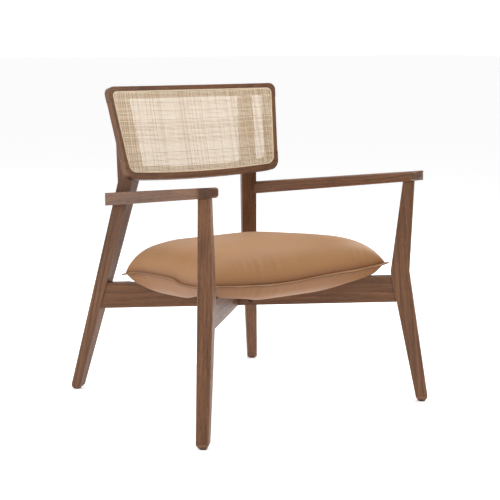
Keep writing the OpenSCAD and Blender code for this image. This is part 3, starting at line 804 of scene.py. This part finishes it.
def strand_plan(name, material):
    """Flat strips of cane laid along guide lines."""
    plan = Plan(name, ["Width", "Thickness"])
    curve = plan.guide_curve()
    facing = plan.node("InputNamedAttribute", {"data_type": "FLOAT_VECTOR"}, {"Name": "facing"})
    turned = plan.node("SetCurveNormal", {"mode": "FREE"}, {"Curve": curve, "Normal": facing})
    section = plan.node(
        "CurvePrimitiveQuadrilateral",
        {"mode": "RECTANGLE"},
        {"Width": plan.input("Thickness"), "Height": plan.input("Width")},
    )
    lay = {"Curve": turned, "Profile Curve": section, "Fill Caps": True}
    plan.finish(plan.node("CurveToMesh", None, lay), material)
    return plan


def reed_plan(name, material):
    """A round reed bent along a guide line."""
    plan = Plan(name, ["Radius"])
    curve = plan.guide_curve()
    look = {"Resolution": 12, "Radius": plan.input("Radius")}
    section = plan.node("CurvePrimitiveCircle", {"mode": "RADIUS"}, look)
    rod = plan.node("CurveToMesh", None, {"Curve": curve, "Profile Curve": section})
    plan.finish(plan.node("SetShadeSmooth", None, {"Geometry": rod}), material)
    return plan


def stitch_plan(name, material):
    """Short rounded stitches set end to end along a guide line."""
    plan = Plan(name, ["Spacing", "Length", "Thickness"])
    curve = plan.guide_curve()
    spacing = {"Curve": curve, "Length": plan.input("Spacing")}
    dots = plan.node("ResampleCurve", {"mode": "LENGTH"}, spacing)
    way = plan.node("InputTangent")
    turn = plan.node("FunctionNodeAlignRotationToVector", {"axis": "Z"}, {"Vector": way})
    bead = plan.node("MeshUVSphere", None, {"Segments": 6, "Rings": 4, "Radius": 0.5})
    sides = {"X": plan.input("Thickness"), "Y": plan.input("Thickness"), "Z": plan.input("Length")}
    size = plan.node("ShaderNodeCombineXYZ", None, sides)
    sewing = {"Points": dots, "Instance": bead, "Rotation": turn, "Scale": size}
    sewn = plan.node("InstanceOnPoints", None, sewing)
    plan.finish(plan.node("SetShadeSmooth", None, {"Geometry": sewn}), material)
    return plan


# ---- the seat's own frame ----


def seat_frame(s):
    return Matrix.Translation((0, CROSSING.y, s.height)) @ Matrix.Rotation(-s.tilt, 4, "X")


def seat_point(s, u, v):
    """Place on the seam's plane; u and v run from -1 to 1 across and back."""
    half = s.front_half + (s.back_half - s.front_half) * (v + 1) / 2
    return u * half, -s.front + (v + 1) / 2 * (s.front + s.back)


def seam_rise(s, u, v):
    """How far the seam lies over its plane: bowed sides, a sag in front and raised front corners."""
    side = s.side_bow * abs(u) ** 7 * (1 - v**4) * (1 + math.tanh((v + 0.33) / 0.1)) / 2
    sag = s.front_sag * max(0.0, -v) ** 7 * math.exp(-(((u + 0.2) / 0.45) ** 2))
    ear = s.ear_lift * abs(u) ** 5 * max(0.0, -v) ** 5
    return side - sag + ear + s.seam_lift * max(abs(u), abs(v)) ** 7


def dome(u, v, power):
    """A dome of height 1 that falls to 0 at the seam, flatter on top for a higher power."""
    return math.sqrt(max(0.0, (1 - abs(u) ** power) * (1 - abs(v) ** power)))


def belly_heights(s, spots):
    """Heights of the underside at places on the seam's plane, taken from the frame's lower cover."""
    back = seat_frame(s).inverted()
    mesh = NODES["seat_cover_bottom"].data
    verts = [back @ v.co for v in mesh.vertices]
    tree = BVHTree.FromPolygons(verts, [tuple(p.vertices) for p in mesh.polygons])
    found = []
    for x, y in spots:
        hit = tree.ray_cast(Vector((x, y, -0.2)), Vector((0, 0, 1)))[0]
        found.append(hit.z if hit is not None and hit.z < 0.002 else None)
    return found


def grid_faces(index, cells, up):
    faces = []
    for j in range(cells):
        for i in range(cells):
            face = (index[j][i], index[j][i + 1], index[j + 1][i + 1], index[j + 1][i])
            faces.append(face if up else face[::-1])
    return faces


def cover_mesh(s):
    """Both leather panels as one closed skin, and each vertex's place across, back and side."""
    cells = s.cells
    step = [2 * i / cells - 1 for i in range(cells + 1)]
    step = [(t + math.sin(t * math.pi / 2)) / 2 for t in step]
    verts, facts = [], []
    top = [[0] * (cells + 1) for _ in range(cells + 1)]
    low = [[0] * (cells + 1) for _ in range(cells + 1)]
    for j, v in enumerate(step):
        for i, u in enumerate(step):
            x, y = seat_point(s, u, v)
            top[j][i] = len(verts)
            verts.append([x, y, seam_rise(s, u, v) + s.crown * 0.93 * dome(u, v, 4.6)])
            facts.append((u, v, 1))
    spots = [seat_point(s, u, v) for v in step for u in step]
    heights = belly_heights(s, spots)
    for j, v in enumerate(step):
        for i, u in enumerate(step):
            if i in (0, cells) or j in (0, cells):
                low[j][i] = top[j][i]
                continue
            z = heights[j * (cells + 1) + i]
            x, y = spots[j * (cells + 1) + i]
            low[j][i] = len(verts)
            z = -0.015 if z is None else z + seam_rise(s, u, v) * max(abs(u), abs(v)) ** 18
            z -= s.front_belly * max(0.0, -v) ** 2 * (1 - u**4) * (1 - v**12)
            verts.append([x, y, z])
            facts.append((u, v, -1))
    mesh = bpy.data.meshes.new("seat_cover")
    mesh.from_pydata(verts, [], grid_faces(top, cells, True) + grid_faces(low, cells, False))
    return mesh, facts


def neighbours(mesh):
    """A function that gives the mean of each vertex's neighbours."""
    edges = np.array([list(e.vertices) for e in mesh.edges])
    count = np.bincount(edges.ravel(), minlength=len(mesh.vertices))[:, None]

    def average(co):
        total = np.zeros_like(co)
        np.add.at(total, edges[:, 0], co[edges[:, 1]])
        np.add.at(total, edges[:, 1], co[edges[:, 0]])
        return total / count

    return average


def inflate(piece, held, cap):
    """Lets the skin swell over its filling like cloth, with held vertices still and the rest capped."""
    before = points_of(piece.data)
    group = piece.vertex_groups.new(name="held")
    for i, weight in enumerate(held):
        if weight > 0:
            group.add([i], float(weight), "REPLACE")
    cloth = piece.modifiers.new("Leather", "CLOTH")
    for key, value in CLOTH.items():
        setattr(cloth.settings, key, value)
    cloth.settings.effector_weights.gravity = 0.0
    cloth.collision_settings.use_self_collision = False
    scene = bpy.context.scene
    for step in range(1, CLOTH_STEPS + 1):
        scene.frame_set(step)
    ready = piece.evaluated_get(bpy.context.evaluated_depsgraph_get())
    after = points_of(ready.to_mesh())
    ready.to_mesh_clear()
    piece.modifiers.remove(cloth)
    piece.vertex_groups.clear()
    scene.frame_set(1)
    move = after - before
    size = np.linalg.norm(move, axis=1, keepdims=True)
    limit = cap[:, None]
    move *= limit * np.tanh(size / limit) / np.maximum(size, 1e-9)
    set_points(piece.data, before + move)


def pucker_field(s, facts, rng):
    """Depth of the puckers and soft dents at each vertex, in metres."""
    waves = [
        [(rng.uniform(26, 95), rng.uniform(0, 6.3), rng.uniform(0.3, 1.0)) for _ in range(7)]
        for _ in range(4)
    ]
    dents = [(rng.uniform(-0.8, 0.8), rng.uniform(-0.9, 0.9), rng.uniform(0.15, 0.35)) for _ in range(9)]
    field = np.zeros(len(facts))
    for k, (u, v, side) in enumerate(facts):
        edges = [(1 - abs(u), v, 0 if u < 0 else 1), (1 - abs(v), u, 2 if v < 0 else 3)]
        depth = 0.0
        for gap, along, which in edges:
            near = math.exp(-((gap - 0.05) / 0.05) ** 2) * min(1.0, gap / 0.02)
            wave = sum(size * math.sin(pitch * along + phase + 9 * gap) for pitch, phase, size in waves[which])
            patch = 0.3 + (1.0 * math.exp(-(((along + 0.35) / 0.2) ** 2)) if which == 2 else 0.0)
            depth += near * wave * patch * 0.42
        soft = sum(math.exp(-((u - a) ** 2 + (v - b) ** 2) / (w * w)) for a, b, w in dents)
        field[k] = s.pucker * (depth - 0.9 * soft * (1 if side > 0 else 0.2))
    return field
def even_out(mesh, loose):
    """Smooths the loose vertices of a skin."""
    average = neighbours(mesh)
    co = points_of(mesh)
    for _ in range(6):
        co = np.where(loose[:, None], 0.5 * co + 0.5 * average(co), co)
    set_points(mesh, co)


def fill_crown(s, mesh, facts, upper, loose):
    """Blends the upper panel with a plain dome and brings it to the height of the crown."""
    full = []
    for u, v, _ in facts:
        rise = s.crown * dome(u, v, 6 + 1.6 * max(0, -v))
        full.append([*seat_point(s, u, v), seam_rise(s, u, v) + rise])
    co = points_of(mesh)
    co = np.where(loose[:, None], SETTLED * co + PLAIN * np.array(full), co)
    co[:, 2] = np.where(upper, co[:, 2] * s.crown / co[upper, 2].max(), co[:, 2])
    set_points(mesh, co)
    return co


def flange_rows(s, rng):
    """Round the seam: each place, the way out, the flange's width there and its waves."""
    phases = [rng.uniform(0, 6.3) for _ in range(4)]
    ring = []
    for k in range(4 * FLANGE_STEPS):
        leg, t = divmod(k, FLANGE_STEPS)
        t = 2 * t / FLANGE_STEPS - 1
        u, v = [(t, -1), (1, t), (-t, 1), (-1, -t)][leg]
        ring.append((u, v, *seat_point(s, u, v), seam_rise(s, u, v)))
    rows = []
    for k, (u, v, x, y, z) in enumerate(ring):
        corner = max(0.0, (abs(u) + abs(v)) / 2 - 0.9) / 0.1
        ripple = 0.9 + 0.08 * math.sin(0.31 * k + phases[0]) + 0.06 * math.sin(0.11 * k + phases[1])
        lift = 0.0009 * math.sin(0.09 * k + phases[2]) + 0.0006 * math.sin(0.27 * k + phases[3])
        before, after = ring[k - 1], ring[(k + 1) % len(ring)]
        d = Vector((after[2] - before[2], after[3] - before[3])).normalized()
        out = Vector((d.y, -d.x))
        if abs(u) > 0.999 and abs(v) > 0.999:
            out = Vector((math.copysign(1, u), math.copysign(1, v))) * 0.8
        reach = s.flange * ripple * (1 + 0.15 * corner)
        rows.append((Vector((x, y, z)), Vector((out.x, out.y, 0)), reach, lift))
    return rows


def flange_point(s, row, a, up):
    """A point at a share of the flange's width and a height over its middle."""
    middle, out, reach, lift = row
    hang = lift * max(0.0, a) - a * reach * math.tan(s.droop) * max(0.0, a) ** 0.3
    return middle + out * (a * reach) + Vector((0, 0, up + hang))


def flange_shade(a, b):
    """How much painted shade the flange gets: a painted shadow underneath and on its lower rim, painted shade
    beside the seam, and a darker band along the stitches.
    """
    if b < 0.3:
        return 1.25
    if a < 0.1:
        return 1.1
    return 0.3 if abs(a - STITCH_LINE) < 0.2 else 0.0


def flange_mesh(s, rows):
    """The sewn flange as one closed ring."""
    section = FLANGE_TOP + FLANGE_RIM + [(a, -b) for a, b in FLANGE_TOP[-2:0:-1]] + [(-0.5, -0.9)]
    turn = seat_frame(s)
    verts = [turn @ flange_point(s, row, a, b * s.leather) for row in rows for a, b in section]
    faces = []
    wide = len(section)
    for k in range(len(rows)):
        here, there = k * wide, (k + 1) % len(rows) * wide
        for i in range(wide):
            after = (i + 1) % wide
            faces.append((here + i, there + i, there + after, here + after))
    bm = bmesh.new()
    mesh = bpy.data.meshes.new("seat_flange_leather")
    mesh.from_pydata(verts, [], faces)
    bm.from_mesh(mesh)
    bmesh.ops.recalc_face_normals(bm, faces=bm.faces)
    bm.to_mesh(mesh)
    bm.free()
    mesh.polygons.foreach_set("use_smooth", [True] * len(mesh.polygons))
    # The flange's painted shade is kept in the seam attribute, which the leather reads.
    shades = [flange_shade(a, b) for a, b in section]
    write_attribute(mesh, "seam", shades * len(rows))
    return mesh

# ---- operators ----


class ARMCHAIR_OT_woodwork(bpy.types.Operator):
    """Builds the legs, rails, arms and back frame in walnut with eased edges"""

    bl_idname = "armchair.woodwork"
    bl_label = "Woodwork"

    def execute(self, context):
        s = context.scene.armchair_wood
        material = walnut("Walnut", s.dark, s.light, s.worn)
        hidden = [b for node in JOINERY + PLUGS + METALWORK for b in islands(node)]
        for order, node in enumerate(LEGS + RAILS + ARMS + BACK_FRAME):
            radius = s.back_radius if node in BACK_FRAME else s.edge_radius
            piece = eased(node, radius, hidden, material, order, s.arm_radius if node in ARMS else 0.0)
            settle_piece(piece, "walnut", node)
        plug_wood = walnut("Walnut plugs", shaded(s.dark, 0.5), shaded(s.light, 0.55), PLUG_RING)
        for order, node in enumerate(PLUGS):
            piece = eased(node, PLUG_ROUNDING, [], plug_wood, order + 20)
            settle_piece(piece, "joint_wood" if node == "rail_pin" else "walnut", node)
        return {"FINISHED"}


class ARMCHAIR_OT_cane_back(bpy.types.Operator):
    """Weaves the cane panel strand by strand"""

    bl_idname = "armchair.cane_back"
    bl_label = "Cane back"

    def execute(self, context):
        s = context.scene.armchair_back
        material = cane("Cane", s.cane, s.cane_dark)
        sizes = {"Width": s.strand, "Thickness": s.strand_thick}
        for name, upright in (("cane_uprights", True), ("cane_rows", False)):
            lines = weave_lines(s, upright, random.Random(11 if upright else 12))
            if not lines:
                raise RuntimeError("the cane outline has no room for a strand")
            guide = guide_mesh(name + "_lines", lines)
            piece = strand_plan(name, material).run(name, guide, sizes)
            settle_piece(piece, "cane", "cane_panel")
        return {"FINISHED"}


class ARMCHAIR_OT_spline(bpy.types.Operator):
    """Presses the reed spline into its groove round the cane"""

    bl_idname = "armchair.spline"
    bl_label = "Reed spline"

    def execute(self, context):
        s = context.scene.armchair_back
        turn = back_frame(s)
        line = []
        for x, z in back_outline(s, s.groove):
            place, facing = bent_point(s, x, z, REED_DEPTH)
            line.append((turn @ place, turn.to_3x3() @ facing, 0.15))
        guide = guide_mesh("spline_line", [line], closed=True)
        material = cane("Reed", s.reed, s.cane_dark)
        piece = reed_plan("Reed", material).run("reed_spline", guide, {"Radius": s.spline / 2})
        settle_piece(piece, "reed", "cane_spline")
        return {"FINISHED"}


class ARMCHAIR_OT_cushion(bpy.types.Operator):
    """Shapes the leather seat, lets it settle over its filling, and adds its puckers"""

    bl_idname = "armchair.cushion"
    bl_label = "Leather seat"

    def execute(self, context):
        s = context.scene.armchair_seat
        mesh, facts = cover_mesh(s)
        piece = add_object("seat_leather", mesh)
        u, v, side = np.array(facts).T
        edge = np.maximum(np.abs(u), np.abs(v))
        on_seam = edge > 0.9999
        under = (side < 0) & ~on_seam
        even_out(mesh, under)
        if s.settle:
            cap = np.where(side > 0, 0.024, 0.003)
            held = np.where(on_seam, 1.0, np.where(side < 0, 0.85, 0.0))
            inflate(piece, held, cap)
        co = fill_crown(s, mesh, facts, side > 0, (side > 0) & ~on_seam)
        depth = pucker_field(s, facts, random.Random(s.seed))
        normal = np.zeros(len(co) * 3, np.float32)
        mesh.vertices.foreach_get("normal", normal)
        co += normal.reshape(-1, 3) * np.where(on_seam, 0.0, depth)[:, None]
        turn = np.array(seat_frame(s))
        set_points(mesh, co @ turn[:3, :3].T + turn[:3, 3])
        # Painted shade goes into the seam attribute: a dark band beside the seam, darker pucker hollows near
        # the seam, and the whole underside darkened.
        near = np.clip(1 - (1 - edge) / SEAM_SHADE_WIDTH, 0, 1) ** 2
        painted_fold_and_belly_shade = np.clip(-depth / s.pucker * 0.2, 0, 0.4) * (edge > 0.8) + 0.75 * under
        write_attribute(mesh, "seam", np.clip(near + painted_fold_and_belly_shade, 0, 1.2))
        mesh.polygons.foreach_set("use_smooth", [True] * len(mesh.polygons))
        mesh.materials.append(leather("Tan leather", s.tan, s.tan_dark))
        finer = piece.modifiers.new("Finer", "SUBSURF")
        finer.levels = finer.render_levels = 1
        settle_piece(piece, "leather", "seat_cover_top", "seat_cover_bottom")
        filling = foam("Foam")
        for node in ("seat_foam", "belly_foam"):
            bm = welded(node)
            bmesh.ops.triangulate(bm, faces=bm.faces)
            core_mesh = smooth_mesh(bm, node + "_core")
            core_mesh.materials.append(filling)
            core_mesh.set_sharp_from_angle(angle=math.radians(50))
            core = settle_piece(add_object(node + "_core", core_mesh), "foam", node)
        return {"FINISHED"}


class ARMCHAIR_OT_seam(bpy.types.Operator):
    """Adds the sewn flange round the seat and its rows of stitches"""

    bl_idname = "armchair.seam"
    bl_label = "Flange and stitches"

    def execute(self, context):
        s = context.scene.armchair_seat
        turn = seat_frame(s)
        rows = flange_rows(s, random.Random(s.seed + 1))
        mesh = flange_mesh(s, rows)
        mesh.materials.append(bpy.data.materials["Tan leather"])
        settle_piece(add_object("seat_flange_leather", mesh), "leather", "seat_flange")
        lines = []
        for face in (1, -1):
            facing = turn.to_3x3() @ Vector((0, 0, face))
            sunk = face * 0.86 * s.leather
            lines.append([(turn @ flange_point(s, row, STITCH_LINE, sunk), facing, 0.5) for row in rows])
        guide = guide_mesh("stitch_lines", lines, closed=True)
        plan = stitch_plan("Stitches", thread("Thread", s.thread))
        sizes = {"Spacing": s.stitch_gap, "Length": s.stitch, "Thickness": 0.0007}
        settle_piece(plan.run("seat_stitches", guide, sizes), "leather")
        return {"FINISHED"}


class ARMCHAIR_OT_fittings(bpy.types.Operator):
    """Finishes the glides, the screws, the tenons and the board inside the seat"""

    bl_idname = "armchair.fittings"
    bl_label = "Fittings"

    def execute(self, context):
        steel = zinc("Zinc")
        for node in METALWORK:
            dress(node, steel)
        beech = raw_wood("Raw beech", (0.5, 0.34, 0.2), (0.38, 0.23, 0.12), (120.0, 120.0, 18.0))
        for node in JOINERY:
            dress(node, beech)
        plywood = raw_wood("Birch plywood", (0.66, 0.5, 0.32), (0.5, 0.34, 0.19), (20.0, 60.0, 700.0))
        dress("seat_board", plywood)
        bm = welded("foot_glides")
        round_edges(bm, [e for e in bm.edges if crease(e) > 0.8 and e.is_convex], 0.0005, 2)
        bmesh.ops.recalc_face_normals(bm, faces=bm.faces)
        mesh = smooth_mesh(bm, "foot_glides_soft")
        mesh.set_sharp_from_angle(angle=math.radians(35))
        mesh.materials.append(glide_rubber("Glides"))
        settle_piece(add_object("foot_glides_soft", mesh), "glide", "foot_glides")
        return {"FINISHED"}


class ARMCHAIR_OT_stage(bpy.types.Operator):
    """Sets the pale floor, the soft lights and the camera"""

    bl_idname = "armchair.stage"
    bl_label = "Stage"

    def execute(self, context):
        s = context.scene.armchair_stage
        mesh = bpy.data.meshes.new("floor")
        reach = 70.0
        corners = [(-reach, -reach, 0), (reach, -reach, 0), (reach, reach, 0), (-reach, reach, 0)]
        mesh.from_pydata(corners, [], [(0, 1, 2, 3)])
        mesh.materials.append(floor_paper("Floor", s.floor))
        add_object("floor", mesh)
        world = bpy.data.worlds.new("Studio")
        world.use_nodes = True
        sky = NodeTree(world.node_tree)
        sky.tree.nodes.clear()
        way = sky.node("TexCoord", None, None, "Generated")
        behind = sky.node("SeparateXYZ", None, {"Vector": way}, "Y")
        glow = sky.node("Background", None, {"Strength": behind * s.glow_shift + s.glow})
        paper = sky.node("Background", None, {"Color": (1.0, 1.0, 1.0, 1.0), "Strength": 1.05})
        seen = sky.node("LightPath", None, None, "Is Camera Ray")
        mixed = sky.node("MixShader", None, {0: seen, 1: glow, 2: paper})
        sky.node("OutputWorld", None, {"Surface": mixed})
        context.scene.world = world
        for name, (place, size, power) in LAMPS.items():
            lamp = bpy.data.lights.new(name, "AREA")
            lamp.shape = "DISK"
            lamp.size = size
            lamp.energy = power
            aim = Vector((0, 0, 0.4)) - Vector(place)
            turned = aim.to_track_quat("-Z", "Y").to_matrix().to_4x4()
            add_object(name, lamp).matrix_world = Matrix.Translation(place) @ turned
        lens = bpy.data.cameras.new("camera")
        lens.lens = s.lens
        lens.sensor_width = 36.0
        eye = add_object("camera", lens)
        eye.location = s.eye
        eye.rotation_euler = (s.pitch, 0.0, s.turn)
        context.scene.camera = eye
        context.scene.view_settings.view_transform = "Standard"
        return {"FINISHED"}


class ARMCHAIR_PT_panel(bpy.types.Panel):
    """Lists the steps that build the armchair"""

    bl_idname = "ARMCHAIR_PT_panel"
    bl_label = "Lounge armchair"
    bl_space_type = "VIEW_3D"
    bl_region_type = "UI"
    bl_category = "Armchair"

    def draw(self, context):
        for step in STEPS:
            self.layout.operator(step.bl_idname)
        for group in GROUPS:
            settings = getattr(context.scene, group)
            box = self.layout.box()
            for key in settings.bl_rna.properties.keys():
                if key not in ("rna_type", "name"):
                    box.prop(settings, key)


STEPS = (
    ARMCHAIR_OT_stage,
    ARMCHAIR_OT_woodwork,
    ARMCHAIR_OT_cane_back,
    ARMCHAIR_OT_spline,
    ARMCHAIR_OT_cushion,
    ARMCHAIR_OT_seam,
    ARMCHAIR_OT_fittings,
)
GROUPS = {
    "armchair_wood": WoodSettings,
    "armchair_back": BackSettings,
    "armchair_seat": SeatSettings,
    "armchair_stage": StageSettings,
}
CLASSES = (*GROUPS.values(), *STEPS, ARMCHAIR_PT_panel)


def register():
    for group in GROUPS.values():
        for key, setting in group.__annotations__.items():
            setting.keywords["name"] = key.replace("_", " ").capitalize()
    for part in CLASSES:
        bpy.utils.register_class(part)
    for key, group in GROUPS.items():
        setattr(bpy.types.Scene, key, PointerProperty(type=group))


def unregister():
    for key in GROUPS:
        delattr(bpy.types.Scene, key)
    for part in reversed(CLASSES):
        bpy.utils.unregister_class(part)


def main():
    register()
    for step in STEPS:
        group, name = step.bl_idname.split(".")
        getattr(getattr(bpy.ops, group), name)()


if __name__ == "__main__":
    main()
